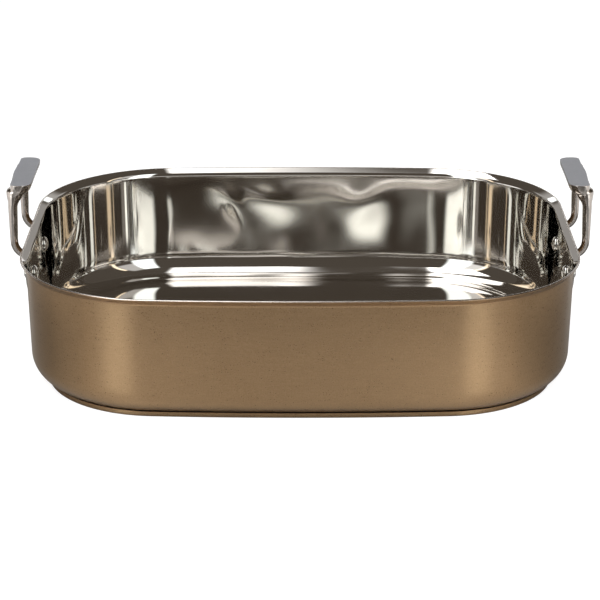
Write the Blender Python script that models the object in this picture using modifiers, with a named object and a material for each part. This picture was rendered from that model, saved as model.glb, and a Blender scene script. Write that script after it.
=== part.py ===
"""Rectangular roasting pan with two upright handles.

Metres, +Z up. The origin is under the middle of the pan, on the surface that it stands on.
+X runs along the pan to the right handle, and the long sides face -Y and +Y.
"""
from math import atan2, cos, pi, radians, sin, sqrt, tan

import bmesh
import bpy
from mathutils import Matrix, Vector

# Pan body: a deep drawn sheet with a flared rim
RIM_LENGTH = 0.406
RIM_DEPTH = 0.330
RIM_HEIGHT = 0.094
RIM_CORNER_RADIUS = 0.103
LONG_SIDE_RADIUS = 1.900
SHEET = 0.0016
RIM_EDGE_ROUNDING = 0.0003
FLARE_ANGLE = radians(45)
FLARE_LENGTH = 0.0050
FLARE_BEND_RADIUS = 0.0030
WALL_DRAFT = radians(1.5)
BOTTOM_RADIUS = 0.0200

# Base: a heat-spreading plate closed in by a cap
BASE_STEP = 0.0120
BASE_GROOVE = 0.0008
CORE_THICKNESS = 0.0021
CORE_CHAMFER = 0.0006
CAP_SHEET = 0.0006
CAP_EDGE_RADIUS = 0.0015

# Handles: the foot pads are riveted under the rim, and the legs pass round it to the grip
RIVET_DROP = 0.0240
PAD_WIDTH = 0.0260
PAD_HEIGHT = 0.0300
PAD_THICKNESS = 0.0040
PAD_EDGE = 0.0018
LEG_SPACING = 0.0688
LEG_STANDOFF = 0.0122
LEG_ROOT_RISE = 0.0134
LEG_BEND_RADIUS = 0.0110
LEG_FOOT_CLEARANCE = 0.0005
LEG_FOOT_DIAMETER = 0.0059
LEG_TOP_DIAMETER = 0.0071
LEG_SWELL = 0.0024
LEG_SWELL_LENGTH = 0.0100
GRIP_RISE = 0.0438
GRIP_WIDTH = 0.0137
GRIP_THICKNESS = 0.0075
GRIP_END = 0.0039
GRIP_CROWN = 0.0026
GRIP_CROWN_LENGTH = 0.0560
GRIP_EDGE = 0.0005
GRIP_INNER_CORNER = 0.0080
GRIP_OUTER_CORNER = 0.0040
SHOULDER_DROP = 0.0030

# Rivets: one through each foot pad
RIVET_HEAD_DIAMETER = 0.0110
RIVET_HEAD_HEIGHT = 0.0028
RIVET_SHANK_DIAMETER = 0.0050
RIVET_TAIL_DIAMETER = 0.0075
RIVET_TAIL_HEIGHT = 0.0015

# Clearance left between pieces that touch
GAP = 0.0003

# How finely the round stretches are divided
CORNER_STEPS = 12
LONG_SIDE_STEPS = 5
BEND_STEPS = 4
BOTTOM_STEPS = 8
ROUND_STEPS = 24
GRIP_STATIONS = 36
GRIP_ROUND_STEPS = 9
LEG_STEPS = 7

SMOOTH_ANGLE = radians(35)


def arc(centre, radius, start, end, steps):
    """Points of an arc in the plane of inset and height, with both ends."""
    angles = [start + (end - start) * k / steps for k in range(steps + 1)]
    return [(centre[0] + radius * cos(a), centre[1] + radius * sin(a)) for a in angles]


def outline(inset):
    """The pan seen from above, inset from the rim's edge: four corner arcs between
    straight short sides and slightly crowned long sides, anticlockwise."""
    side_centre_y = RIM_DEPTH / 2 - LONG_SIDE_RADIUS
    corner_x = RIM_LENGTH / 2 - RIM_CORNER_RADIUS
    corner_y = side_centre_y + sqrt((LONG_SIDE_RADIUS - RIM_CORNER_RADIUS) ** 2 - corner_x**2)
    turn = atan2(corner_y - side_centre_y, corner_x)
    quarter = arc((corner_x, corner_y), RIM_CORNER_RADIUS - inset, 0, turn, CORNER_STEPS)
    quarter += arc((0, side_centre_y), LONG_SIDE_RADIUS - inset, turn, pi / 2, LONG_SIDE_STEPS)[1:]
    back = quarter + [(-x, y) for x, y in reversed(quarter[:-1])]
    return back + [(-x, -y) for x, y in back]


def body_profile():
    """The sheet's outer side as (inset, height) points, from the flat bottom to the rim."""
    edge_z = RIM_HEIGHT - SHEET * cos(FLARE_ANGLE)
    flare_root = (FLARE_LENGTH * cos(FLARE_ANGLE), edge_z - FLARE_LENGTH * sin(FLARE_ANGLE))
    bend_centre = (
        flare_root[0] - FLARE_BEND_RADIUS * sin(FLARE_ANGLE),
        flare_root[1] - FLARE_BEND_RADIUS * cos(FLARE_ANGLE),
    )
    bend = arc(bend_centre, FLARE_BEND_RADIUS, WALL_DRAFT, pi / 2 - FLARE_ANGLE, BEND_STEPS)
    wall_top = bend[0]
    bottom_z = underside_height()
    centre_z = bottom_z + BOTTOM_RADIUS
    wall_bottom_z = centre_z - BOTTOM_RADIUS * sin(WALL_DRAFT)
    wall_bottom = (wall_top[0] + tan(WALL_DRAFT) * (wall_top[1] - wall_bottom_z), wall_bottom_z)
    centre = (wall_bottom[0] + BOTTOM_RADIUS * cos(WALL_DRAFT), centre_z)
    bottom = arc(centre, BOTTOM_RADIUS, 1.5 * pi, pi + WALL_DRAFT, BOTTOM_STEPS)
    return bottom + bend + [(0.0, edge_z)]


def underside_height():
    """Height of the body's flat underside, on top of the cap's floor and the core."""
    return CAP_SHEET + GAP + CORE_THICKNESS + GAP


def wall_inset(height):
    """How far the wall's outer side lies inside the rim's edge at a height."""
    wall_top = body_profile()[BOTTOM_STEPS + 1]
    return wall_top[0] + tan(WALL_DRAFT) * (wall_top[1] - height)


def base_inset():
    """How far the base cap's side lies inside the rim's edge."""
    return body_profile()[BOTTOM_STEPS][0] + BASE_STEP


def cap_height():
    """The cap's side ends under the body's bottom radius, with the groove between them."""
    flat_edge_inset, flat_z = body_profile()[0]
    reach = max(flat_edge_inset - base_inset() - CAP_SHEET, 0.0)
    rise = BOTTOM_RADIUS - sqrt(BOTTOM_RADIUS**2 - reach**2)
    return flat_z + rise - BASE_GROOVE


def skin(bm, rings, cap_first=False, cap_last=False):
    """Joins rings of points with quads, and closes the first or last ring with a flat face."""
    loops = [[bm.verts.new(point) for point in ring] for ring in rings]
    count = len(rings[0])
    for lower, upper in zip(loops, loops[1:]):
        for k in range(count):
            after = (k + 1) % count
            bm.faces.new((lower[k], lower[after], upper[after], upper[k]))
    if cap_first:
        bm.faces.new(reversed(loops[0]))
    if cap_last:
        bm.faces.new(loops[-1])


def pan_rings(profile):
    """One ring of the pan's outline for each (inset, height) point of a profile."""
    return [[(x, y, z) for x, y in outline(inset)] for inset, z in profile]


def turned_about_x(profile, radius_scale=1.0):
    """Turns (distance along X, radius) points, which start and end on the axis, about X."""
    bm = bmesh.new()
    verts = [bm.verts.new((x, 0, radius * radius_scale)) for x, radius in profile]
    edges = [bm.edges.new(pair) for pair in zip(verts, verts[1:])]
    bmesh.ops.spin(
        bm, geom=verts + edges, axis=(1, 0, 0), cent=(0, 0, 0), angle=2 * pi, steps=ROUND_STEPS
    )
    bmesh.ops.remove_doubles(bm, verts=bm.verts, dist=GAP / 100)
    bmesh.ops.recalc_face_normals(bm, faces=bm.faces)
    return bm


def mesh_object(name, bm, collection):
    """Makes an object of a bmesh, shaded smooth except at its sharp edges."""
    mesh = bpy.data.meshes.new(name)
    bm.to_mesh(mesh)
    bm.free()
    mesh.shade_smooth()
    mesh.set_sharp_from_angle(angle=SMOOTH_ANGLE)
    made = bpy.data.objects.new(name, mesh)
    collection.objects.link(made)
    return made


def evaluated_mesh(source, name):
    """A plain mesh of an object with its modifiers or its curve bevel applied."""
    depsgraph = bpy.context.evaluated_depsgraph_get()
    mesh = bpy.data.meshes.new_from_object(source.evaluated_get(depsgraph), depsgraph=depsgraph)
    mesh.name = name
    return mesh


def boolean(target, operand, operation):
    modifier = target.modifiers.new(operation.lower(), "BOOLEAN")
    modifier.operation = operation
    modifier.object = operand


def as_guide(guide):
    guide.hide_render = True
    guide.display_type = "WIRE"
    return guide


def material(name, color, roughness, metallic):
    made = bpy.data.materials.new(name)
    made.use_nodes = True
    shader = made.node_tree.nodes["Principled BSDF"]
    shader.inputs["Base Color"].default_value = (*color, 1.0)
    shader.inputs["Roughness"].default_value = roughness
    shader.inputs["Metallic"].default_value = metallic
    return made


def wall_frame(y):
    """The place of a rivet on the right wall's outer side, with local +X square to the wall."""
    height = RIM_HEIGHT - RIVET_DROP
    spot = Vector((RIM_LENGTH / 2 - wall_inset(height), y, height))
    return Matrix.Translation(spot) @ Matrix.Rotation(WALL_DRAFT, 4, "Y")


def rivet_frames():
    """The four rivets: two on the right wall, and the same two turned to the left wall."""
    right = [wall_frame(-LEG_SPACING / 2), wall_frame(LEG_SPACING / 2)]
    half_turn = Matrix.Rotation(pi, 4, "Z")
    return right + [half_turn @ frame for frame in right]


def make_rivet_holes(guides):
    """Cylinders through the wall and the pads, a clearance wider than the shanks."""
    bm = bmesh.new()
    reach = 2 * (SHEET + PAD_THICKNESS)
    across = Matrix.Rotation(pi / 2, 4, "Y")
    for frame in rivet_frames():
        bmesh.ops.create_cone(
            bm,
            cap_ends=True,
            segments=ROUND_STEPS,
            radius1=RIVET_SHANK_DIAMETER / 2 + GAP,
            radius2=RIVET_SHANK_DIAMETER / 2 + GAP,
            depth=reach,
            matrix=frame @ across,
        )
    return as_guide(mesh_object("rivet_holes", bm, guides))


def make_body(parts, holes, finish_outside, finish_inside):
    """The drawn sheet: its outer side is skinned ring by ring and thickened inwards."""
    bm = bmesh.new()
    skin(bm, pan_rings(body_profile()), cap_first=True)
    body = mesh_object("pan_body", bm, parts)
    body.data.materials.append(finish_outside)
    body.data.materials.append(finish_inside)
    sheet = body.modifiers.new("sheet", "SOLIDIFY")
    sheet.thickness = SHEET
    sheet.offset = -1
    sheet.use_even_offset = True
    sheet.material_offset = 1
    sheet.material_offset_rim = 1
    edge = body.modifiers.new("rim_edge", "BEVEL")
    edge.width = RIM_EDGE_ROUNDING
    edge.segments = 2
    edge.limit_method = "ANGLE"
    edge.angle_limit = radians(60)
    boolean(body, holes, "DIFFERENCE")


def make_base(parts, finish_core, finish_cap):
    """The core plate, and the cap that is pressed up round it."""
    core_inset = base_inset() + CAP_SHEET + GAP
    core_bottom = CAP_SHEET + GAP
    core_top = core_bottom + CORE_THICKNESS
    bm = bmesh.new()
    profile = [
        (core_inset + CORE_CHAMFER, core_bottom),
        (core_inset, core_bottom + CORE_CHAMFER),
        (core_inset, core_top - CORE_CHAMFER),
        (core_inset + CORE_CHAMFER, core_top),
    ]
    skin(bm, pan_rings(profile), cap_first=True, cap_last=True)
    mesh_object("base_core", bm, parts).data.materials.append(finish_core)

    bm = bmesh.new()
    edge_centre = (base_inset() + CAP_EDGE_RADIUS, CAP_EDGE_RADIUS)
    profile = arc(edge_centre, CAP_EDGE_RADIUS, 1.5 * pi, pi, BEND_STEPS)
    profile.append((base_inset(), cap_height()))
    skin(bm, pan_rings(profile), cap_first=True)
    cap = mesh_object("base_cap", bm, parts)
    cap.data.materials.append(finish_cap)
    sheet = cap.modifiers.new("sheet", "SOLIDIFY")
    sheet.thickness = CAP_SHEET
    sheet.offset = -1
    sheet.use_even_offset = True


def leg_x():
    """Distance of the legs' upright stretches from the middle of the pan."""
    return RIM_LENGTH / 2 - wall_inset(RIM_HEIGHT - RIVET_DROP) + LEG_STANDOFF


def corner_pull(distance, radius):
    """How far a rounded corner draws an edge in, at a distance from the end."""
    if distance >= radius:
        return 0.0
    return radius - sqrt(radius**2 - (radius - distance) ** 2)


def grip_section(y, half_length):
    """The grip across its length at y: a planed flat top over a round underside."""
    to_end = half_length - abs(y)
    crown = GRIP_CROWN * cos(pi * y / GRIP_CROWN_LENGTH) ** 2 if abs(y) < GRIP_CROWN_LENGTH / 2 else 0.0
    inner = leg_x() - GRIP_WIDTH + corner_pull(to_end, GRIP_INNER_CORNER)
    outer = leg_x() + crown - corner_pull(to_end, GRIP_OUTER_CORNER)
    top = RIM_HEIGHT + GRIP_RISE
    side_top = top - GRIP_EDGE
    depth = GRIP_THICKNESS - GRIP_EDGE - corner_pull(to_end, GRIP_OUTER_CORNER) / 2
    middle = (inner + outer) / 2
    half_width = (outer - inner) / 2
    under = [
        (middle - half_width * cos(a), side_top - depth * sin(a) ** 0.8)
        for a in [pi * k / GRIP_ROUND_STEPS for k in range(GRIP_ROUND_STEPS + 1)]
    ]
    edge = min(GRIP_EDGE, half_width / 2)
    section = [(inner + edge, top)] + under + [(outer - edge, top)]
    return [(x, y, z) for x, z in section]


def make_grip_bar(guides):
    half_length = LEG_SPACING / 2 + GRIP_END
    turns = [pi * (k / GRIP_STATIONS - 0.5) for k in range(GRIP_STATIONS + 1)]
    stations = [half_length * sin(turn) for turn in turns]
    bm = bmesh.new()
    skin(bm, [grip_section(y, half_length) for y in stations], cap_first=True, cap_last=True)
    bmesh.ops.recalc_face_normals(bm, faces=bm.faces)
    return mesh_object("grip_bar", bm, guides)


def make_leg(guides, side):
    """A tapered rod: out of the foot pad, round the rim, up, and swelling into the grip."""
    root_z = RIM_HEIGHT - RIVET_DROP + LEG_ROOT_RISE
    foot_x = RIM_LENGTH / 2 - wall_inset(root_z) + LEG_FOOT_CLEARANCE
    root_x = leg_x() - LEG_BEND_RADIUS
    y = side * LEG_SPACING / 2
    foot = LEG_FOOT_DIAMETER / 2
    top = LEG_TOP_DIAMETER / 2
    shoulder_z = RIM_HEIGHT + GRIP_RISE - SHOULDER_DROP
    swell_z = RIM_HEIGHT + GRIP_RISE - GRIP_THICKNESS

    turns = [pi / 2 * k / LEG_STEPS for k in range(LEG_STEPS + 1)]
    points = [(foot_x, y, root_z, foot)]
    for a in turns:
        rise = LEG_BEND_RADIUS * (1 - cos(a))
        points.append((root_x + LEG_BEND_RADIUS * sin(a), y, root_z + rise, foot))
    points.append((leg_x(), y, swell_z - LEG_SWELL_LENGTH, top))
    for k in range(1, LEG_STEPS + 1):
        share = k / LEG_STEPS
        extra = LEG_SWELL * share**2
        height = swell_z - LEG_SWELL_LENGTH * (1 - share)
        points.append((leg_x() - extra, y - side * extra, height, top + extra))
    full = top + LEG_SWELL
    for k in range(1, BEND_STEPS + 1):
        lean = 0.8 * pi / 2 * k / BEND_STEPS
        height = swell_z + (shoulder_z - swell_z) * sin(lean) / sin(0.8 * pi / 2)
        points.append((points[-1][0], points[-1][1], height, full * (0.45 + 0.55 * cos(lean))))

    curve = bpy.data.curves.new("leg", "CURVE")
    curve.dimensions = "3D"
    curve.bevel_depth = 1.0
    curve.bevel_resolution = 5
    curve.use_fill_caps = True
    spline = curve.splines.new("POLY")
    spline.points.add(len(points) - 1)
    for point, (px, py, pz, radius) in zip(spline.points, points):
        point.co = (px, py, pz, 1.0)
        point.radius = radius
    rod = bpy.data.objects.new("leg", curve)
    guides.objects.link(rod)
    mesh = evaluated_mesh(rod, "leg")
    bpy.data.objects.remove(rod)
    bm = bmesh.new()
    bm.from_mesh(mesh)
    bmesh.ops.remove_doubles(bm, verts=bm.verts, dist=GAP / 10)
    bmesh.ops.recalc_face_normals(bm, faces=bm.faces)
    return as_guide(mesh_object("leg", bm, guides))


def make_foot_pad(guides, side):
    """A domed oval pad that lies on the wall, with a flat spot for the rivet's tail."""
    back = GAP
    front = GAP + PAD_THICKNESS
    flat_share = (RIVET_TAIL_DIAMETER / 2 + GAP) / (PAD_WIDTH / 2)
    profile = [(back, 0), (back, 1), (back + PAD_EDGE, 1)]
    for k in range(1, BEND_STEPS + 1):
        a = pi / 2 * k / BEND_STEPS
        rise = (PAD_THICKNESS - PAD_EDGE) * sin(a)
        profile.append((back + PAD_EDGE + rise, flat_share + (1 - flat_share) * cos(a)))
    profile.append((front, 0))
    bm = turned_about_x(profile, PAD_WIDTH / 2)
    oval = Matrix.Diagonal((1, 1, PAD_HEIGHT / PAD_WIDTH, 1))
    bm.transform(wall_frame(side * LEG_SPACING / 2) @ oval)
    return as_guide(mesh_object("foot_pad", bm, guides))


def make_handles(parts, guides, holes, finish):
    """One casting for the right side, and the same casting turned to the left side."""
    bar = as_guide(make_grip_bar(guides))
    for side in (-1, 1):
        leg = make_leg(guides, side)
        boolean(leg, make_foot_pad(guides, side), "UNION")
        boolean(bar, leg, "UNION")
    boolean(bar, holes, "DIFFERENCE")
    casting = evaluated_mesh(bar, "handle")
    casting.shade_smooth()
    casting.set_sharp_from_angle(angle=SMOOTH_ANGLE)
    casting.materials.append(finish)
    for name, turn in (("right_handle", 0), ("left_handle", pi)):
        handle = bpy.data.objects.new(name, casting)
        handle.rotation_euler.z = turn
        parts.objects.link(handle)


def rivet_profile():
    """Half of a rivet along the wall's outward direction: domed head, shank, pressed tail."""
    head_seat = -SHEET - GAP
    tail_seat = GAP + PAD_THICKNESS + GAP
    head = RIVET_HEAD_DIAMETER / 2
    tail = RIVET_TAIL_DIAMETER / 2
    shank = RIVET_SHANK_DIAMETER / 2
    turns = [pi / 2 * k / BEND_STEPS for k in range(BEND_STEPS + 1)]
    dome = [(head_seat - RIVET_HEAD_HEIGHT * cos(a), head * sin(a)) for a in turns]
    button = [(tail_seat + RIVET_TAIL_HEIGHT * sin(a), tail * cos(a)) for a in turns]
    return dome + [(head_seat, shank), (tail_seat, shank)] + button


def make_rivets(parts, finish):
    """Four equal rivets on one shared mesh."""
    mesh = bpy.data.meshes.new("rivet")
    bm = turned_about_x(rivet_profile())
    bm.to_mesh(mesh)
    bm.free()
    mesh.shade_smooth()
    mesh.set_sharp_from_angle(angle=SMOOTH_ANGLE)
    mesh.materials.append(finish)
    names = ("rivet_right_front", "rivet_right_back", "rivet_left_back", "rivet_left_front")
    for name, frame in zip(names, rivet_frames()):
        rivet = bpy.data.objects.new(name, mesh)
        rivet.matrix_world = frame
        parts.objects.link(rivet)


def new_collection(name):
    made = bpy.data.collections.new(name)
    bpy.context.scene.collection.children.link(made)
    return made


def main():
    for old in list(bpy.data.objects):
        bpy.data.objects.remove(old)
    parts = new_collection("roasting_pan")
    guides = new_collection("cutters_and_guides")
    bronze = material("bronze_finish", (0.24, 0.16, 0.10), 0.42, 1.0)
    polished = material("polished_steel", (0.66, 0.64, 0.60), 0.08, 1.0)
    cast = material("cast_steel", (0.62, 0.58, 0.54), 0.12, 1.0)
    aluminium = material("plain_aluminium", (0.75, 0.75, 0.76), 0.35, 1.0)

    holes = make_rivet_holes(guides)
    make_body(parts, holes, bronze, polished)
    make_base(parts, aluminium, bronze)
    make_handles(parts, guides, holes, cast)
    make_rivets(parts, polished)


main()
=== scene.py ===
"""Looks of a deep rectangular roasting pan: satin bronze outside, mirror steel inside."""
from math import atan2, copysign, cos, exp, pi, radians, sin, sqrt, tan

import bmesh
import bpy
from mathutils import Matrix, Vector


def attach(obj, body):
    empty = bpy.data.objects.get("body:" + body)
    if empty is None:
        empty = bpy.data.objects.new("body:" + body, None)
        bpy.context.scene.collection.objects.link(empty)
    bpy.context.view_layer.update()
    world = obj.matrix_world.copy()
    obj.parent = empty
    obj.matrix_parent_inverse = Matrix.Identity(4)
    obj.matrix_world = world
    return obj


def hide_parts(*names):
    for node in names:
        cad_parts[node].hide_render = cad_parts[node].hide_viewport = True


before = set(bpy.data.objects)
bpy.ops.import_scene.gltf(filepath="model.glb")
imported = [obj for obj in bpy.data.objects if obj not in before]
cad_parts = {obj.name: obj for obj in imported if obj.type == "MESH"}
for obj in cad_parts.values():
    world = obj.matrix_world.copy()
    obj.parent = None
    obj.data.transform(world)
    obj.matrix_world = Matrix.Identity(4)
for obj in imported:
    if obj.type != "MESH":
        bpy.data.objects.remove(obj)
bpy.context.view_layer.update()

# Sizes of the drawn sheet, in metres, as the solids have them
RIM_LENGTH = 0.406
RIM_DEPTH = 0.330
RIM_HEIGHT = 0.094
RIM_CORNER_RADIUS = 0.103
LONG_SIDE_RADIUS = 1.900
SHEET = 0.0016
FLARE_ANGLE = radians(45)
FLARE_LENGTH = 0.0050
FLARE_BEND_RADIUS = 0.0030
CUT_EDGE_HEIGHT = RIM_HEIGHT - SHEET * cos(FLARE_ANGLE)
WALL_DRAFT = radians(1.5)
BOTTOM_RADIUS = 0.0200
INNER_LIP_ROUNDING = 0.0009
OUTER_LIP_ROUNDING = 0.0003

# Base cap
BODY_UNDERSIDE = 0.0033
BASE_STEP = 0.0120
CAP_HEIGHT = 0.0039
CAP_SHEET = 0.0006
CAP_EDGE_RADIUS = 0.0015
CAP_EDGE_BREAK = 0.0001

# Rivets
RIVET_HEIGHT = 0.0700
RIVET_SPACING = 0.0688
RIVET_HEAD_DIAMETER = 0.0110
RIVET_HEAD_HEIGHT = 0.0028
RIVET_SHANK_DIAMETER = 0.0050
RIVET_TAIL_DIAMETER = 0.0075
RIVET_TAIL_HEIGHT = 0.0015
PAD_THICKNESS = 0.0040
GAP = 0.0003

# Handles. The grip's outer side is fuller at its ends than the solid's: not at the first of
# the two distances from the middle and of the two heights, and wholly at the second. The top
# face is raised by an allowance, and planed off at its height once the corners have run
# together.
HANDLE_TOP = 0.1378
GRIP_CROWN_LENGTH = 0.0560
GRIP_END_FULLNESS = 0.0015
GRIP_FULL_REACH = (0.2030, 0.2090)
GRIP_FULL_HEIGHT = (0.1240, 0.1310)
PLANING_DEPTH = 0.0006
PLANING_ALLOWANCE = 0.0012
CAST_DETAIL = 0.00055
CAST_SMOOTHING = 14

# Shallow waves that drawing leaves in the inner long walls, which the mirror finish shows.
# name: (along the wall, height, reach along, reach across, all in mm, how far the wave stands
# inwards in thousandths of a mm, turn in degrees)
BACK_WALL_WAVES = {
    "back_1": (-69.0, 45.3, 13.2, 18.2, -533, 115.2),
    "back_2": (1.3, 30.0, 23.8, 23.7, 914, 29.9),
    "back_3": (-10.8, 37.9, 14.0, 15.4, -937, 119.6),
    "back_4": (-28.5, 70.6, 14.6, 8.2, 411, 157.7),
    "back_5": (-80.2, 69.4, 10.3, 39.8, -293, 136.3),
    "back_6": (-58.0, 70.7, 5.3, 19.0, 470, 27.3),
    "back_7": (58.5, 32.8, 13.5, 41.2, -622, 60.7),
    "back_8": (77.6, 46.7, 16.1, 22.1, -451, 143.1),
    "back_9": (47.4, 60.0, 11.2, 20.0, 450, 165.4),
    "back_10": (107.6, 28.6, 10.7, 23.2, -278, 1.3),
}
FRONT_WALL_WAVES = {
    "front_1": (-72.0, 58.0, 8.4, 5.0, 690, 176.2),
    "front_2": (89.2, 28.8, 16.9, 25.9, 971, 74.7),
}
# The waves are absent at the first of each pair and full from the second on: a height, and
# the level part of the wall's normal that points across the pan.
WAVE_FADE_HEIGHTS = (0.091, 0.060)
WAVE_FACING = (0.20, 0.60)

# How finely the pan is divided
CORNER_STEPS = 40
LONG_SIDE_STEPS = 56
SHORT_SIDE_STEPS = 10
ARC_STEPS = 14
INNER_WALL_STEPS = 36
OUTER_WALL_STEPS = 12
LIP_STEPS = 6
CAP_EDGE_STEPS = 6
INNER_FLOOR_RINGS = 26
PLAIN_FLOOR_RINGS = 2
RIVET_STEPS = 48
MERGE_DISTANCE = 0.000005
CUT_TOLERANCE = 0.000001

# Edges that turn by more than this stay sharp in the shading
SHEET_CREASE = radians(35)
RIVET_CREASE = radians(40)
CAST_CREASE = radians(32)

# Camera, from the fit to the photograph's outlines
CAMERA_SENSOR = 36.0
CAMERA_LENS = 134.52
CAMERA_PITCH = radians(19.59)
CAMERA_DISTANCE = 1.70302
CAMERA_AIM_HEIGHT = 0.03618
CAMERA_CLIP = (0.05, 50.0)


# Shader trees

def new_material(name):
    made = bpy.data.materials.new(name)
    made.use_nodes = True
    made.node_tree.nodes.clear()
    return made


class Nodes:
    """A short way to place and join the nodes of one tree."""

    def __init__(self, tree):
        self.tree = tree

    def add(self, kind, inputs=None, **settings):
        node = self.tree.nodes.new(kind)
        for key, value in settings.items():
            setattr(node, key, value)
        for key, value in (inputs or {}).items():
            self.feed(node.inputs[key], value)
        return node

    def feed(self, socket, value):
        if isinstance(value, bpy.types.NodeSocket):
            self.tree.links.new(value, socket)
        elif isinstance(value, bpy.types.Node):
            self.tree.links.new(value.outputs[0], socket)
        else:
            socket.default_value = value

    def math(self, operation, a, b=0.0):
        node = self.add("ShaderNodeMath", operation=operation)
        self.feed(node.inputs[0], a)
        self.feed(node.inputs[1], b)
        return node.outputs[0]

    def span(self, value, low, high, to_low=0.0, to_high=1.0, smooth=False):
        node = self.add("ShaderNodeMapRange", clamp=True)
        if smooth:
            node.interpolation_type = "SMOOTHSTEP"
        for key, entry in zip(
            ("Value", "From Min", "From Max", "To Min", "To Max"),
            (value, low, high, to_low, to_high),
        ):
            self.feed(node.inputs[key], entry)
        return node.outputs[0]

    def blend(self, factor, first, second):
        """Mixes two colours; the sockets are taken by place, as several share a name."""
        node = self.add("ShaderNodeMix", data_type="RGBA")
        self.feed(node.inputs[0], factor)
        self.feed(node.inputs[6], first)
        self.feed(node.inputs[7], second)
        return node.outputs[2]

    def noise(self, at, scale, detail, roughness=0.5, distortion=0.0):
        values = {"Vector": at, "Scale": scale, "Detail": detail}
        values.update({"Roughness": roughness, "Distortion": distortion})
        return self.add("ShaderNodeTexNoise", values).outputs[0]

    def vector(self, operation, a, b=None):
        node = self.add("ShaderNodeVectorMath", {0: a}, operation=operation)
        if b is not None:
            self.feed(node.inputs[1], b)
        return node


def new_group(name, inputs, outputs):
    """A shader node group with named sockets; returns its tree, its nodes and its two ends."""
    tree = bpy.data.node_groups.new(name, "ShaderNodeTree")
    for label, kind, value in inputs:
        entry = tree.interface.new_socket(label, in_out="INPUT", socket_type=kind)
        if value is not None:
            entry.default_value = value
    for label, kind in outputs:
        tree.interface.new_socket(label, in_out="OUTPUT", socket_type=kind)
    nodes = Nodes(tree)
    return tree, nodes, nodes.add("NodeGroupInput").outputs, nodes.add("NodeGroupOutput").inputs


def place_group(nodes, tree, values):
    node = nodes.add("ShaderNodeGroup", node_tree=tree)
    for key, value in values.items():
        nodes.feed(node.inputs[key], value)
    return node.outputs


def speckle_group():
    """Fine grains of lighter and darker metal, as on a blasted and brushed sheet."""
    tree, n, given, out = new_group(
        "speckled grain",
        [
            ("Position", "NodeSocketVector", None),
            ("Grain Scale", "NodeSocketFloat", 2200.0),
            ("Cloud Scale", "NodeSocketFloat", 22.0),
        ],
        [("Grain", "NodeSocketFloat"), ("Cloud", "NodeSocketFloat")],
    )
    n.feed(out["Grain"], n.noise(given["Position"], given["Grain Scale"], 2.0, 0.6))
    n.feed(out["Cloud"], n.noise(given["Position"], given["Cloud Scale"], 3.0))
    return tree


def brush_group():
    """Fine polishing lines that run level round the piece."""
    tree, n, given, out = new_group(
        "level brush lines",
        [
            ("Position", "NodeSocketVector", None),
            ("Line Scale", "NodeSocketFloat", 1500.0),
            ("Stretch", "NodeSocketFloat", 0.02),
        ],
        [("Lines", "NodeSocketFloat")],
    )
    split = n.add("ShaderNodeSeparateXYZ", {0: given["Position"]})
    joined = n.add(
        "ShaderNodeCombineXYZ",
        {
            0: n.math("MULTIPLY", split.outputs[0], given["Stretch"]),
            1: n.math("MULTIPLY", split.outputs[1], given["Stretch"]),
            2: split.outputs[2],
        },
    )
    n.feed(out["Lines"], n.noise(joined, given["Line Scale"], 3.0, 0.7))
    return tree


def handling_group():
    """Faint wipe marks and a thin film, as any polished metal gets from handling."""
    tree, n, given, out = new_group(
        "wipe marks",
        [
            ("Position", "NodeSocketVector", None),
            ("Mark Scale", "NodeSocketFloat", 30.0),
        ],
        [("Marks", "NodeSocketFloat")],
    )
    broad = n.noise(given["Position"], given["Mark Scale"], 5.0, 0.6, 0.8)
    n.feed(out["Marks"], n.span(broad, 0.42, 0.68))
    return tree


SPECKLE = speckle_group()
BRUSH = brush_group()
WIPES = handling_group()


def finish_shader(n, color, roughness, metallic=1.0):
    values = {"Base Color": color, "Roughness": roughness, "Metallic": metallic}
    shader = n.add("ShaderNodeBsdfPrincipled", values)
    n.add("ShaderNodeOutputMaterial", {0: shader})
    return shader


def stretch_highlights(n, shader, amount):
    """Draws highlights out along the upright axis, as level brushing round the pan does."""
    shader.inputs["Anisotropic"].default_value = amount
    shader.inputs["Anisotropic Rotation"].default_value = 0.25
    tangent = n.add("ShaderNodeTangent", direction_type="RADIAL", axis="Z")
    n.feed(shader.inputs["Tangent"], tangent)


def roughen(n, shader, strength, distance, height):
    values = {"Strength": strength, "Distance": distance, "Height": height}
    n.feed(shader.inputs["Normal"], n.add("ShaderNodeBump", values))


def object_position(n):
    return n.add("ShaderNodeTexCoord").outputs["Object"]


def satin_bronze():
    made = new_material("satin_bronze")
    n = Nodes(made.node_tree)
    at = object_position(n)
    grain = place_group(n, SPECKLE, {"Position": at, "Grain Scale": 950.0, "Cloud Scale": 14.0})
    lines = place_group(n, BRUSH, {"Position": at, "Line Scale": 700.0, "Stretch": 0.12})
    deep = (0.325, 0.208, 0.111, 1)
    pale = (0.400, 0.262, 0.144, 1)
    cloudy = (0.48, 0.34, 0.21, 1)
    strokes = n.math("MULTIPLY", lines["Lines"], 0.3)
    tone = n.math("ADD", n.math("MULTIPLY", grain["Grain"], 0.7), strokes)
    color = n.blend(n.span(tone, 0.36, 0.64), deep, pale)
    color = n.blend(n.span(grain["Cloud"], 0.35, 0.70, 0.0, 0.10), color, cloudy)
    shader = finish_shader(n, color, n.span(tone, 0.35, 0.65, 0.27, 0.33))
    roughen(n, shader, 0.02, 0.0002, tone)
    stretch_highlights(n, shader, 0.60)
    return made


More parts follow.
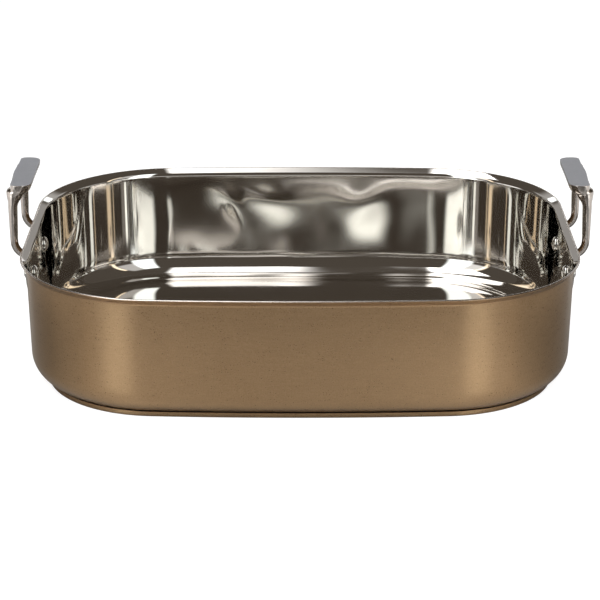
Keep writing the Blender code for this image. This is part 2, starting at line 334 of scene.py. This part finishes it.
def mirror_steel():
    made = new_material("mirror_steel")
    n = Nodes(made.node_tree)
    at = object_position(n)
    lines = place_group(n, BRUSH, {"Position": at, "Line Scale": 2500.0, "Stretch": 0.01})
    wipes = place_group(n, WIPES, {"Position": at, "Mark Scale": 24.0})
    deep, pale = (0.68, 0.655, 0.62, 1), (0.72, 0.695, 0.66, 1)
    color = n.blend(n.span(lines["Lines"], 0.3, 0.7), deep, pale)
    shader = finish_shader(n, color, n.span(wipes["Marks"], 0.0, 1.0, 0.045, 0.065))
    stretch_highlights(n, shader, 0.80)
    return made


def cut_edge_steel():
    made = new_material("cut_edge_steel")
    n = Nodes(made.node_tree)
    at = object_position(n)
    grain = place_group(n, SPECKLE, {"Position": at, "Grain Scale": 1400.0, "Cloud Scale": 60.0})
    deep, pale = (0.58, 0.52, 0.48, 1), (0.70, 0.65, 0.61, 1)
    color = n.blend(n.span(grain["Grain"], 0.35, 0.65), deep, pale)
    finish_shader(n, color, n.span(grain["Cloud"], 0.3, 0.7, 0.20, 0.28))
    return made


def cast_steel():
    made = new_material("polished_casting")
    n = Nodes(made.node_tree)
    at = object_position(n)
    wipes = place_group(n, WIPES, {"Position": at, "Mark Scale": 90.0})
    color = n.blend(wipes["Marks"], (0.44, 0.395, 0.36, 1), (0.52, 0.47, 0.43, 1))
    shader = finish_shader(n, color, n.span(wipes["Marks"], 0.0, 1.0, 0.10, 0.17))
    roughen(n, shader, 0.12, 0.0006, n.noise(at, 160.0, 1.0))
    return made


def planed_top():
    made = new_material("planed_grip_top")
    n = Nodes(made.node_tree)
    at = object_position(n)
    grain = place_group(n, SPECKLE, {"Position": at, "Grain Scale": 1300.0, "Cloud Scale": 120.0})
    deep, pale = (0.324, 0.329, 0.363, 1), (0.362, 0.367, 0.403, 1)
    color = n.blend(n.span(grain["Grain"], 0.35, 0.65), deep, pale)
    roughness = n.span(grain["Cloud"], 0.3, 0.7, 0.45, 0.55)
    shader = finish_shader(n, color, roughness, metallic=0.10)
    roughen(n, shader, 0.02, 0.0002, grain["Grain"])
    return made


def rivet_steel():
    made = new_material("rivet_steel")
    n = Nodes(made.node_tree)
    at = object_position(n)
    wipes = place_group(n, WIPES, {"Position": at, "Mark Scale": 200.0})
    color = n.blend(wipes["Marks"], (0.60, 0.57, 0.53, 1), (0.70, 0.67, 0.63, 1))
    finish_shader(n, color, n.span(wipes["Marks"], 0.0, 1.0, 0.10, 0.18))
    return made


def rolled_aluminium():
    made = new_material("rolled_aluminium")
    n = Nodes(made.node_tree)
    at = object_position(n)
    lines = place_group(n, BRUSH, {"Position": at, "Line Scale": 1800.0, "Stretch": 0.02})
    color = n.blend(lines["Lines"], (0.66, 0.66, 0.68, 1), (0.80, 0.80, 0.81, 1))
    finish_shader(n, color, n.span(lines["Lines"], 0.3, 0.7, 0.30, 0.45))
    return made


# Outline and profiles

def arc(centre, radius, start, end, steps):
    angles = [start + (end - start) * k / steps for k in range(steps + 1)]
    return [(centre[0] + radius * cos(a), centre[1] + radius * sin(a)) for a in angles]


def outline(inset):
    """The pan seen from above, anticlockwise, inset from the rim's edge."""
    side_x, side_centre_y = RIM_LENGTH / 2 - inset, RIM_DEPTH / 2 - LONG_SIDE_RADIUS
    corner_x = RIM_LENGTH / 2 - RIM_CORNER_RADIUS
    corner_y = side_centre_y + sqrt((LONG_SIDE_RADIUS - RIM_CORNER_RADIUS) ** 2 - corner_x**2)
    turn = atan2(corner_y - side_centre_y, corner_x)
    short = [(side_x, corner_y * k / SHORT_SIDE_STEPS) for k in range(SHORT_SIDE_STEPS)]
    corner = arc((corner_x, corner_y), RIM_CORNER_RADIUS - inset, 0, turn, CORNER_STEPS)
    side = arc((0, side_centre_y), LONG_SIDE_RADIUS - inset, turn, pi / 2, LONG_SIDE_STEPS)[1:]
    quarter = short + corner + side
    half = quarter + [(-x, y) for x, y in reversed(quarter[:-1])]
    return half + [(-x, -y) for x, y in half[1:-1]]


def sheet_sides():
    """The sheet's outer and inner sides as (inset, height) points, each from the floor up."""
    bend_inset = FLARE_LENGTH * cos(FLARE_ANGLE) - FLARE_BEND_RADIUS * sin(FLARE_ANGLE)
    root_z = CUT_EDGE_HEIGHT - FLARE_LENGTH * sin(FLARE_ANGLE)
    bend_z = root_z - FLARE_BEND_RADIUS * cos(FLARE_ANGLE)
    wall_top_inset = bend_inset + FLARE_BEND_RADIUS * cos(WALL_DRAFT)
    wall_top_z = bend_z + FLARE_BEND_RADIUS * sin(WALL_DRAFT)
    centre_z = BODY_UNDERSIDE + BOTTOM_RADIUS
    foot_z = centre_z - BOTTOM_RADIUS * sin(WALL_DRAFT)
    foot_inset = wall_top_inset + tan(WALL_DRAFT) * (wall_top_z - foot_z)
    centre = (foot_inset + BOTTOM_RADIUS * cos(WALL_DRAFT), centre_z)
    bend, bend_end = (bend_inset, bend_z), pi / 2 - FLARE_ANGLE
    sides = []
    for depth, wall_steps in ((0.0, OUTER_WALL_STEPS), (SHEET, INNER_WALL_STEPS)):
        top_bend = arc(bend, FLARE_BEND_RADIUS + depth, WALL_DRAFT, bend_end, ARC_STEPS)
        bottom = arc(centre, BOTTOM_RADIUS - depth, 1.5 * pi, pi + WALL_DRAFT, ARC_STEPS)
        sides.append(bottom + between(bottom[-1], top_bend[0], wall_steps) + top_bend)
    return sides


def lip_corner(radius, depth, start):
    """One rounded corner of the rim's cut edge, a quarter turn from a start angle."""
    centre_inset = depth * sin(FLARE_ANGLE) + radius * cos(FLARE_ANGLE)
    centre_z = CUT_EDGE_HEIGHT + depth * cos(FLARE_ANGLE) - radius * sin(FLARE_ANGLE)
    return arc((centre_inset, centre_z), radius, start, start - pi / 2, LIP_STEPS)


def between(first, last, steps):
    """Points strictly between two ends."""
    shares = [k / steps for k in range(1, steps)]
    return [tuple(a + (b - a) * share for a, b in zip(first, last)) for share in shares]


def wall_inset(height):
    """The wall's outer side at a height, between its two bends."""
    outer = sheet_sides()[0]
    low, high = outer[ARC_STEPS], outer[ARC_STEPS + OUTER_WALL_STEPS]
    share = (height - low[1]) / (high[1] - low[1])
    return low[0] + (high[0] - low[0]) * share


# Geometry trees

def geometry_tree(name, inputs):
    tree = bpy.data.node_groups.new(name, "GeometryNodeTree")
    tree.interface.new_socket("Geometry", in_out="INPUT", socket_type="NodeSocketGeometry")
    for label, kind, value in inputs:
        entry = tree.interface.new_socket(label, in_out="INPUT", socket_type=kind)
        if value is not None:
            entry.default_value = value
    tree.interface.new_socket("Geometry", in_out="OUTPUT", socket_type="NodeSocketGeometry")
    nodes = Nodes(tree)
    return tree, nodes, nodes.add("NodeGroupInput").outputs, nodes.add("NodeGroupOutput").inputs


def run_tree(carrier, tree, values, name):
    """Runs a geometry tree on an object and returns its result as a plain mesh object."""
    modifier = carrier.modifiers.new(tree.name, "NODES")
    modifier.node_group = tree
    for item in tree.interface.items_tree:
        if item.in_out == "INPUT" and item.name in values:
            modifier[item.identifier] = values[item.name]
    mesh = evaluated_mesh(carrier)
    mesh.name = name
    carrier.modifiers.remove(modifier)
    bpy.data.objects.remove(carrier)
    return new_object(name, mesh)


def evaluated_mesh(carrier):
    """A plain copy of an object's mesh as its modifiers leave it."""
    depsgraph = bpy.context.evaluated_depsgraph_get()
    shown = carrier.evaluated_get(depsgraph)
    return bpy.data.meshes.new_from_object(shown, depsgraph=depsgraph)


def new_object(name, data):
    made = bpy.data.objects.new(name, data)
    bpy.context.scene.collection.objects.link(made)
    return made


def path_object(name, points, cyclic):
    curve = bpy.data.curves.new(name, "CURVE")
    curve.dimensions = "3D"
    spline = curve.splines.new("POLY")
    spline.points.add(len(points) - 1)
    for point, place in zip(spline.points, points):
        point.co = (*place, 1.0)
    spline.use_cyclic_u = cyclic
    return new_object(name, curve)


def shell_tree():
    """Sweeps an outer and an inner profile round the rim's path, and closes in both floors."""
    tree, n, given, out = geometry_tree(
        "sheet swept round the rim",
        [
            ("Outer Profile", "NodeSocketObject", None),
            ("Inner Profile", "NodeSocketObject", None),
            ("Lip Profile", "NodeSocketObject", None),
            ("Outer Floor", "NodeSocketObject", None),
            ("Inner Floor", "NodeSocketObject", None),
            ("Outer Finish", "NodeSocketMaterial", None),
            ("Inner Finish", "NodeSocketMaterial", None),
            ("Lip Finish", "NodeSocketMaterial", None),
            ("Seam Distance", "NodeSocketFloat", 0.00001),
        ],
    )
    upright = n.add("GeometryNodeSetCurveNormal", {"Curve": given["Geometry"]}, mode="Z_UP")
    joined = n.add("GeometryNodeJoinGeometry")
    for part in ("Outer", "Inner", "Lip"):
        profile = n.add("GeometryNodeObjectInfo", {"Object": given[part + " Profile"]})
        values = {"Curve": upright, "Profile Curve": profile.outputs["Geometry"]}
        whole = n.add("GeometryNodeCurveToMesh", values)
        if part != "Lip":  # the lip is a ring and has no floor
            swept, whole = whole, n.add("GeometryNodeJoinGeometry")
            floor = n.add("GeometryNodeObjectInfo", {"Object": given[part + " Floor"]})
            n.feed(whole.inputs[0], swept)
            n.feed(whole.inputs[0], floor.outputs["Geometry"])
        values = {"Geometry": whole, "Material": given[part + " Finish"]}
        n.feed(joined.inputs[0], n.add("GeometryNodeSetMaterial", values))
    real = n.add("GeometryNodeRealizeInstances", {"Geometry": joined})
    values = {"Geometry": real, "Distance": given["Seam Distance"]}
    n.feed(out["Geometry"], n.add("GeometryNodeMergeByDistance", values))
    return tree


def profile_object(name, points):
    """A profile for the sweep: X is measured outwards from the rim's path, and Y downwards."""
    return path_object(name, [(-inset, -height, 0.0) for inset, height in points], False)


def floor_object(name, inset, height, rings):
    """A flat floor: the outline at an inset, drawn in ring by ring to the middle."""
    bm = bmesh.new()
    edge = outline(inset)
    loops = []
    for ring in range(rings):
        share = 1 - ring / rings
        loops.append([bm.verts.new((x * share, y * share, height)) for x, y in edge])
    middle = bm.verts.new((0, 0, height))
    for outer, inner in zip(loops, loops[1:]):
        for k in range(len(edge)):
            bm.faces.new((outer[k - 1], outer[k], inner[k], inner[k - 1]))
    for k in range(len(edge)):
        bm.faces.new((loops[-1][k - 1], loops[-1][k], middle))
    mesh = bpy.data.meshes.new(name)
    bm.to_mesh(mesh)
    bm.free()
    return new_object(name, mesh)


def drop(*objects):
    for unwanted in objects:
        bpy.data.objects.remove(unwanted)


def tidy_faces(piece, sharp_angle):
    """Merges doubles, turns the faces outwards and shades them smooth up to an angle."""
    bm = bmesh.new()
    bm.from_mesh(piece.data)
    bmesh.ops.remove_doubles(bm, verts=bm.verts, dist=MERGE_DISTANCE)
    bmesh.ops.recalc_face_normals(bm, faces=bm.faces)
    bm.to_mesh(piece.data)
    bm.free()
    piece.data.shade_smooth()
    piece.data.set_sharp_from_angle(angle=sharp_angle)
    return piece


def finish_piece(piece, slot_name, *nodes):
    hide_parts(*nodes)
    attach(piece, "root")
    return piece


# Pieces

def fade(value, low, high):
    """0 at the first limit and 1 at the second, with a smooth run between them."""
    share = min(max((value - low) / (high - low), 0.0), 1.0)
    return share * share * (3 - 2 * share)


def wave_height(waves, x, z):
    """How far the waves together stand inwards at a place on the wall, in metres."""
    total = 0.0
    for wave_x, wave_z, reach, width, rise, turn in waves.values():
        c, s = cos(radians(turn)), sin(radians(turn))
        off_x, off_z = x * 1000 - wave_x, z * 1000 - wave_z
        along, across = (c * off_x + s * off_z) / reach, (c * off_z - s * off_x) / width
        total += rise * 1e-6 * exp(-(along**2 + across**2) / 2)
    return total


def press_waves(pan, steel):
    """Presses the waves into the inner long walls, and leaves the rim and floor plain."""
    mesh = pan.data
    inner_slot = mesh.materials.find(steel.name)
    inner_faces = [face for face in mesh.polygons if face.material_index == inner_slot]
    inner = {k for face in inner_faces for k in face.vertices}
    normals = [vert.normal.copy() for vert in mesh.vertices]
    for k in inner:
        vert = mesh.vertices[k]
        squareness = fade(abs(normals[k].y), *WAVE_FACING)
        strength = squareness * fade(vert.co.z, *WAVE_FADE_HEIGHTS)
        if strength > 0:
            waves = BACK_WALL_WAVES if vert.co.y > 0 else FRONT_WALL_WAVES
            inwards = -1 if vert.co.y > 0 else 1
            vert.co.y += inwards * strength * wave_height(waves, vert.co.x, vert.co.z)
    mesh.update()


def sweep_sheet(tree, name, profiles, finishes, inner_floor_rings):
    """Sweeps a sheet's sides round the rim's path, and floors both at their lowest point."""
    helpers = {part + " Profile": profile_object(part, profiles[part]) for part in profiles}
    helpers["Outer Floor"] = floor_object("floor", *profiles["Outer"][0], PLAIN_FLOOR_RINGS)
    helpers["Inner Floor"] = floor_object("floor", *profiles["Inner"][-1], inner_floor_rings)
    values = {part + " Finish": finish for part, finish in finishes.items()}
    path = path_object("rim_path", [(x, y, 0.0) for x, y in outline(0.0)], True)
    piece = run_tree(path, tree, {**helpers, **values}, name)
    drop(*helpers.values())
    return tidy_faces(piece, SHEET_CREASE)


def make_pan(tree, bronze, steel, cut_edge):
    outer, inner = sheet_sides()
    first_corner = lip_corner(OUTER_LIP_ROUNDING, OUTER_LIP_ROUNDING, -0.75 * pi)
    second_corner = lip_corner(INNER_LIP_ROUNDING, SHEET - INNER_LIP_ROUNDING, 0.75 * pi)
    profiles = {
        "Outer": outer + first_corner,
        "Inner": second_corner[-1:] + inner[::-1],
        "Lip": first_corner[-1:] + second_corner,
    }
    finishes = {"Outer": bronze, "Inner": steel, "Lip": cut_edge}
    pan = sweep_sheet(tree, "pan_sheet", profiles, finishes, INNER_FLOOR_RINGS)
    press_waves(pan, steel)
    return finish_piece(pan, "satin_bronze", "pan_body")


def make_base(tree, bronze):
    inset = sheet_sides()[0][ARC_STEPS][0] + BASE_STEP
    edge_centre = (inset + CAP_EDGE_RADIUS, CAP_EDGE_RADIUS)
    outer = arc(edge_centre, CAP_EDGE_RADIUS, 1.5 * pi, pi, CAP_EDGE_STEPS)
    outer.append((inset, CAP_HEIGHT - CAP_EDGE_BREAK))
    outer.append((inset + CAP_EDGE_BREAK, CAP_HEIGHT))
    inner = [outer[-1], (inset + CAP_SHEET, CAP_HEIGHT), (inset + CAP_SHEET, CAP_EDGE_RADIUS)]
    inner.append((inset + CAP_EDGE_RADIUS, CAP_SHEET))
    profiles, finishes = {"Outer": outer, "Inner": inner}, {"Outer": bronze, "Inner": bronze}
    cap = sweep_sheet(tree, "base_band", profiles, finishes, PLAIN_FLOOR_RINGS)
    return finish_piece(cap, "satin_bronze", "base_cap")


def wall_frame(side_x, y):
    """A rivet's place on the wall's outer side, with local +X square to the wall."""
    spot = Vector((RIM_LENGTH / 2 - wall_inset(RIVET_HEIGHT), y, RIVET_HEIGHT))
    right = Matrix.Translation(spot) @ Matrix.Rotation(WALL_DRAFT, 4, "Y")
    return right if side_x > 0 else Matrix.Rotation(pi, 4, "Z") @ right


def rivet_tree():
    """Sets a rivet on every point of a plain mesh, its axis along the point's outward arrow."""
    tree, n, given, out = geometry_tree(
        "rivets set on points",
        [
            ("Rivet", "NodeSocketObject", None),
            ("Finish", "NodeSocketMaterial", None),
        ],
    )
    rivet = n.add("GeometryNodeObjectInfo", {"Object": given["Rivet"]})
    arrow = n.add("GeometryNodeInputNamedAttribute", {"Name": "outward"}, data_type="FLOAT_VECTOR")
    turned = n.add("FunctionNodeAlignRotationToVector", {"Vector": arrow}, axis="X")
    values = {"Points": given["Geometry"], "Instance": rivet.outputs["Geometry"]}
    placed = n.add("GeometryNodeInstanceOnPoints", {**values, "Rotation": turned})
    real = n.add("GeometryNodeRealizeInstances", {"Geometry": placed})
    values = {"Geometry": real, "Material": given["Finish"]}
    n.feed(out["Geometry"], n.add("GeometryNodeSetMaterial", values))
    return tree


def rivet_profile():
    """A rivet's half section as (along, radius) points, from the head inside to the tail."""
    head_seat = -SHEET - GAP
    tail_seat = GAP + PAD_THICKNESS + GAP
    turns = [pi / 2 * k / ARC_STEPS for k in range(ARC_STEPS + 1)]
    head, tail = RIVET_HEAD_DIAMETER / 2, RIVET_TAIL_DIAMETER / 2
    dome = [(head_seat - RIVET_HEAD_HEIGHT * cos(a), head * sin(a)) for a in turns]
    button = [(tail_seat + RIVET_TAIL_HEIGHT * sin(a), tail * cos(a)) for a in turns]
    shank = RIVET_SHANK_DIAMETER / 2
    return dome + [(head_seat, shank), (tail_seat, shank)] + button


def turned_rivet():
    bm = bmesh.new()
    verts = [bm.verts.new((x, 0, radius)) for x, radius in rivet_profile()]
    edges = [bm.edges.new(pair) for pair in zip(verts, verts[1:])]
    whole_turn = {"axis": (1, 0, 0), "cent": (0, 0, 0), "angle": 2 * pi, "steps": RIVET_STEPS}
    bmesh.ops.spin(bm, geom=verts + edges, **whole_turn)
    bmesh.ops.remove_doubles(bm, verts=bm.verts, dist=MERGE_DISTANCE)
    bmesh.ops.recalc_face_normals(bm, faces=bm.faces)
    mesh = bpy.data.meshes.new("turned_rivet")
    bm.to_mesh(mesh)
    bm.free()
    return new_object("turned_rivet", mesh)


def make_rivets(steel):
    sides = [(side_x, side_y) for side_x in (-1, 1) for side_y in (-1, 1)]
    places = [wall_frame(side_x, side_y * RIVET_SPACING / 2) for side_x, side_y in sides]
    spots = bpy.data.meshes.new("rivet_spots")
    spots.from_pydata([place.translation for place in places], [], [])
    outward = spots.attributes.new("outward", "FLOAT_VECTOR", "POINT")
    for arrow, place in zip(outward.data, places):
        arrow.vector = place.col[0].xyz
    carrier, rivet = new_object("rivet_spots", spots), turned_rivet()
    rivets = run_tree(carrier, rivet_tree(), {"Rivet": rivet, "Finish": steel}, "rivets")
    drop(rivet)
    tidy_faces(rivets, RIVET_CREASE)
    nodes = ("rivet_left_front", "rivet_left_back", "rivet_right_front", "rivet_right_back")
    return finish_piece(rivets, "polished_steel", *nodes)


def fill_out_grip(mesh):
    """Fills the grip's ends out beside its crown, and adds the planing allowance on top."""
    bm = bmesh.new()
    bm.from_mesh(mesh)
    bmesh.ops.remove_doubles(bm, verts=bm.verts, dist=MERGE_DISTANCE)
    for vert in bm.verts:
        x, y, z = vert.co
        fullness = fade(abs(x), *GRIP_FULL_REACH) * fade(z, *GRIP_FULL_HEIGHT)
        crown = cos(pi * y / GRIP_CROWN_LENGTH) ** 2 if abs(y) < GRIP_CROWN_LENGTH / 2 else 0.0
        vert.co.x += copysign(GRIP_END_FULLNESS * fullness * (1 - crown), x)
        if z > HANDLE_TOP - PLANING_DEPTH:
            vert.co.z += PLANING_ALLOWANCE
    bm.to_mesh(mesh)
    bm.free()


def plane_top(mesh, finish_slot):
    bm = bmesh.new()
    bm.from_mesh(mesh)
    whole = bm.verts[:] + bm.edges[:] + bm.faces[:]
    level = {"plane_co": (0, 0, HANDLE_TOP), "plane_no": (0, 0, 1)}
    cut = bmesh.ops.bisect_plane(bm, geom=whole, clear_outer=True, dist=CUT_TOLERANCE, **level)
    edges = [edge for edge in cut["geom_cut"] if isinstance(edge, bmesh.types.BMEdge)]
    filled = bmesh.ops.triangle_fill(bm, edges=edges, use_beauty=True)
    for face in filled["geom"]:
        if isinstance(face, bmesh.types.BMFace):
            face.material_index = finish_slot
    bmesh.ops.recalc_face_normals(bm, faces=bm.faces)
    bm.to_mesh(mesh)
    bm.free()


def make_handle(node, casting, top):
    """The casting with its corners run together, and its top planed flat afterwards."""
    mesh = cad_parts[node].data.copy()
    mesh.materials.clear()
    fill_out_grip(mesh)
    handle = new_object(node + "_cast", mesh)
    remesh = handle.modifiers.new("cast", "REMESH")
    remesh.mode = "VOXEL"
    remesh.voxel_size = CAST_DETAIL
    smooth = handle.modifiers.new("run_together", "SMOOTH")
    smooth.factor = 0.5
    smooth.iterations = CAST_SMOOTHING
    result = evaluated_mesh(handle)
    handle.modifiers.clear()
    result.materials.clear()
    for finish in (casting, top):
        result.materials.append(finish)
    plane_top(result, result.materials.find(top.name))
    handle.data = result
    result.name = node + "_cast"
    result.shade_smooth()
    result.set_sharp_from_angle(angle=CAST_CREASE)
    return finish_piece(handle, "cast_steel", node)


# Studio. Bearings are in degrees from straight behind the pan, clockwise seen from above, so
# that the camera stands at 180.

DAYLIGHT = (0.92, 0.99, 1.0)
WARM_LAMP = (1.0, 0.84, 0.62)
NEUTRAL = (1.0, 1.0, 1.0)
DIM_ROOM = (1.18, 1.0, 0.82)
SOFTBOXES = {
    # name: (bearing, half width, lowest, highest, soft edge, strength, tint)
    "front_left": (217.0, 11.0, -5.0, 60.0, 2.5, 2.2, DAYLIGHT),
    "front_right": (147.5, 10.5, -5.0, 60.0, 2.5, 2.2, DAYLIGHT),
    "front_left_foot": (219.5, 16.0, -5.0, 6.0, 5.0, 2.2, NEUTRAL),
    "front_right_foot": (138.5, 16.0, -5.0, 6.0, 5.0, 2.2, NEUTRAL),
    "low_left": (262.0, 14.0, -5.0, 10.0, 5.0, 1.5, NEUTRAL),
    "low_right": (98.0, 14.0, -5.0, 10.0, 5.0, 0.4, NEUTRAL),
    "front_left_flank": (236.0, 8.0, 22.0, 62.0, 3.0, 1.0, NEUTRAL),
    "front_right_flank": (128.0, 9.0, 24.0, 60.0, 3.0, 0.6, NEUTRAL),
    "low_front": (190.0, 34.0, -6.0, 7.0, 3.0, 0.8, NEUTRAL),
    "side_left": (244.0, 2.0, 8.0, 50.0, 1.2, 1.6, WARM_LAMP),
    "side_right": (117.0, 1.6, 8.0, 50.0, 1.2, 2.0, WARM_LAMP),
    "behind_right": (28.0, 7.0, 15.6, 20.0, 1.5, 2.8, DAYLIGHT),
    "behind_right_flank": (42.0, 15.0, 13.0, 27.0, 4.0, 0.42, NEUTRAL),
    "behind_left": (332.0, 6.5, 15.6, 20.0, 1.5, 3.3, DAYLIGHT),
    "behind_left_flank": (318.0, 15.0, 13.0, 27.0, 4.0, 0.38, NEUTRAL),
    "behind_low": (0.0, 50.0, -6.0, 12.0, 3.0, 0.27, NEUTRAL),
    "behind_upper": (359.9, 5.3, 19.9, 24.0, 1.8, 3.2, DAYLIGHT),
    "behind_lower": (5.5, 6.0, -10.0, 15.0, 1.5, 0.9, NEUTRAL),
    "behind_gold": (0.5, 6.0, 25.4, 28.0, 0.8, 1.6, WARM_LAMP),
    "behind_strip": (11.0, 0.9, 8.0, 20.0, 0.6, 1.8, DAYLIGHT),
    "behind_slot": (347.4, 2.1, 15.5, 31.7, 2.4, 1.2, DAYLIGHT),
    "sky_left": (225.0, 40.0, 64.0, 86.0, 5.0, 0.4, NEUTRAL),
}
ROOM_LEVEL = 0.08

# Panels that face down on the pan and on the table, as (place, width, depth, level) in
# metres, where the level is the brightness that a mirror would show. The overhead one fades
# out at its right edge from the given share of its width on.
OVERHEAD = ((-0.90, -0.42, 2.60), 1.95, 1.45, 2.8)
OVERHEAD_SOFT_EDGE = 0.90
TABLE_LAMPS = {
    "table_lamp": ((0.0, -0.265, 0.20), 0.46, 0.14, 6.0),
    "table_lamp_left": ((-0.18, -0.225, 0.12), 0.08, 0.08, 13.0),
    "table_lamp_right": ((0.18, -0.225, 0.12), 0.08, 0.08, 18.0),
    "table_lamp_behind": ((0.0, 0.245, 0.20), 0.46, 0.14, 5.0),
}

# Floor, how bright the camera sees it, and the pale cards at its sides that mirrors see
FLOOR_SIZE = 12.0
FLOOR_GAP = 0.0002
FLOOR_GREY = (0.28, 0.28, 0.28, 1)
FLOOR_ROUGHNESS = 0.18
FLOOR_GLOSS = 0.7
FLOOR_SEEN = 0.88
SIDE_CARD_EDGE = (0.40, 0.50)
SIDE_CARD_LEVEL = 0.95


def make_floor():
    """A satin table, pale to the camera, with a pale card at either side for the mirrors."""
    bpy.ops.mesh.primitive_plane_add(size=FLOOR_SIZE, location=(0, 0, -FLOOR_GAP))
    floor = bpy.context.object
    floor.name = "studio_floor"
    made = new_material("studio_floor")
    n = Nodes(made.node_tree)
    shader = finish_shader(n, FLOOR_GREY, FLOOR_ROUGHNESS, metallic=0.0)
    shader.inputs["Specular IOR Level"].default_value = FLOOR_GLOSS
    light = n.add("ShaderNodeLightPath")
    shader.inputs["Emission Color"].default_value = (1, 1, 1, 1)
    seen = n.math("MULTIPLY", light.outputs["Is Camera Ray"], FLOOR_SEEN)
    across = n.add("ShaderNodeSeparateXYZ", {0: object_position(n)}).outputs[0]
    card = n.span(n.math("ABSOLUTE", across), *SIDE_CARD_EDGE, smooth=True)
    card_level = n.math("MULTIPLY", card, SIDE_CARD_LEVEL)
    mirrored = n.math("MULTIPLY", card_level, light.outputs["Is Glossy Ray"])
    n.feed(shader.inputs["Emission Strength"], n.math("ADD", seen, mirrored))
    floor.data.materials.append(made)


def softbox_group():
    """The light of a softbox in a direction: a tinted patch of the sky with soft edges."""
    tree, n, given, out = new_group(
        "softbox in the studio",
        [
            ("Direction", "NodeSocketVector", None),
            ("Aim", "NodeSocketVector", None),
            ("Half Width", "NodeSocketFloat", 10.0),
            ("Lowest", "NodeSocketFloat", 0.0),
            ("Highest", "NodeSocketFloat", 40.0),
            ("Edge", "NodeSocketFloat", 4.0),
            ("Strength", "NodeSocketFloat", 1.0),
            ("Tint", "NodeSocketVector", None),
            ("Rest", "NodeSocketVector", None),
        ],
        [("Light", "NodeSocketVector")],
    )
    bearing = n.vector("NORMALIZE", n.vector("MULTIPLY", given["Direction"], (1, 1, 0)))
    facing = n.vector("DOT_PRODUCT", bearing, given["Aim"]).outputs["Value"]
    kept_in_range = n.math("MINIMUM", facing, 0.99999)
    off = n.math("DEGREES", n.math("ARCCOSINE", kept_in_range))
    height = n.add("ShaderNodeSeparateXYZ", {0: given["Direction"]}).outputs[2]
    rise = n.math("DEGREES", n.math("ARCSINE", height))

    def soft_step(value, limit, outside, inside):
        ends = [n.math(way, given[limit], given["Edge"]) for way in (outside, inside)]
        return n.span(value, *ends, smooth=True)

    across = soft_step(off, "Half Width", "ADD", "SUBTRACT")
    above = soft_step(rise, "Lowest", "SUBTRACT", "ADD")
    below = soft_step(rise, "Highest", "ADD", "SUBTRACT")
    patch = n.math("MULTIPLY", n.math("MULTIPLY", across, above), below)
    tinted = n.vector("SCALE", given["Tint"])
    n.feed(tinted.inputs["Scale"], n.math("MULTIPLY", patch, given["Strength"]))
    n.feed(out["Light"], n.vector("ADD", given["Rest"], tinted))
    return tree


def make_world():
    """A dim room with softboxes, in front of which the camera sees plain white."""
    world = bpy.data.worlds.new("studio")
    bpy.context.scene.world = world
    world.use_nodes = True
    world.node_tree.nodes.clear()
    n = Nodes(world.node_tree)
    direction = n.add("ShaderNodeTexCoord").outputs["Generated"]
    softbox = softbox_group()
    light = tuple(ROOM_LEVEL * part for part in DIM_ROOM)
    labels = ("Half Width", "Lowest", "Highest", "Edge", "Strength", "Tint")
    for name, (bearing, *patch) in SOFTBOXES.items():
        aim = (sin(radians(bearing)), cos(radians(bearing)), 0.0)
        values = {"Direction": direction, "Aim": aim, "Rest": light, **dict(zip(labels, patch))}
        light = place_group(n, softbox, values)["Light"]
        light.node.label = name
    seen = n.add("ShaderNodeLightPath").outputs["Is Camera Ray"]
    shown = n.blend(seen, light, (1, 1, 1, 1))
    sky = n.add("ShaderNodeBackground", {"Color": shown})
    n.add("ShaderNodeOutputWorld", {0: sky.outputs[0]})


def make_lamp(name, place, width, depth, level):
    data = bpy.data.lights.new(name, "AREA")
    data.shape = "RECTANGLE"
    data.size, data.size_y = width, depth
    data.energy = level * pi * width * depth
    lamp = new_object(name, data)
    lamp.location = place
    return lamp


def make_overhead():
    """A large softbox over the pan, to the left, whose right edge fades along the rim's line."""
    data = make_lamp("overhead", *OVERHEAD).data
    data.use_nodes = True
    n = Nodes(data.node_tree)
    n.tree.nodes.clear()
    place = n.add("ShaderNodeNewGeometry").outputs["Parametric"]
    across = n.add("ShaderNodeSeparateXYZ", {0: place}).outputs[0]
    strength = n.span(across, 1.0, OVERHEAD_SOFT_EDGE, smooth=True)
    n.add("ShaderNodeOutputLight", {0: n.add("ShaderNodeEmission", {"Strength": strength})})


def make_table_lamps():
    """Pools of light on the floor by the long sides, which the bronze wall mirrors softly."""
    for name, lamp_values in TABLE_LAMPS.items():
        lamp = make_lamp(name, *lamp_values)
        lamp.visible_camera = False
        lamp.visible_glossy = False


def make_camera():
    data = bpy.data.cameras.new("photo_camera")
    data.sensor_width = CAMERA_SENSOR
    data.lens = CAMERA_LENS
    data.clip_start, data.clip_end = CAMERA_CLIP
    camera = new_object("photo_camera", data)
    back = Vector((0, -cos(CAMERA_PITCH), sin(CAMERA_PITCH)))
    camera.location = Vector((0, 0, CAMERA_AIM_HEIGHT)) + back * CAMERA_DISTANCE
    camera.rotation_euler = (-back).to_track_quat("-Z", "Y").to_euler()
    bpy.context.scene.camera = camera


def main():
    make_camera()
    bronze, steel = satin_bronze(), mirror_steel()
    casting, top = cast_steel(), planed_top()
    sweep = shell_tree()
    make_pan(sweep, bronze, steel, cut_edge_steel())
    make_base(sweep, bronze)
    make_rivets(rivet_steel())
    for node in ("left_handle", "right_handle"):
        make_handle(node, casting, top)
    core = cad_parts["base_core"]
    core.data.materials.clear()
    core.data.materials.append(rolled_aluminium())
    make_floor()
    make_world()
    make_overhead()
    make_table_lamps()
    bpy.context.scene.view_settings.view_transform = "Standard"


main()
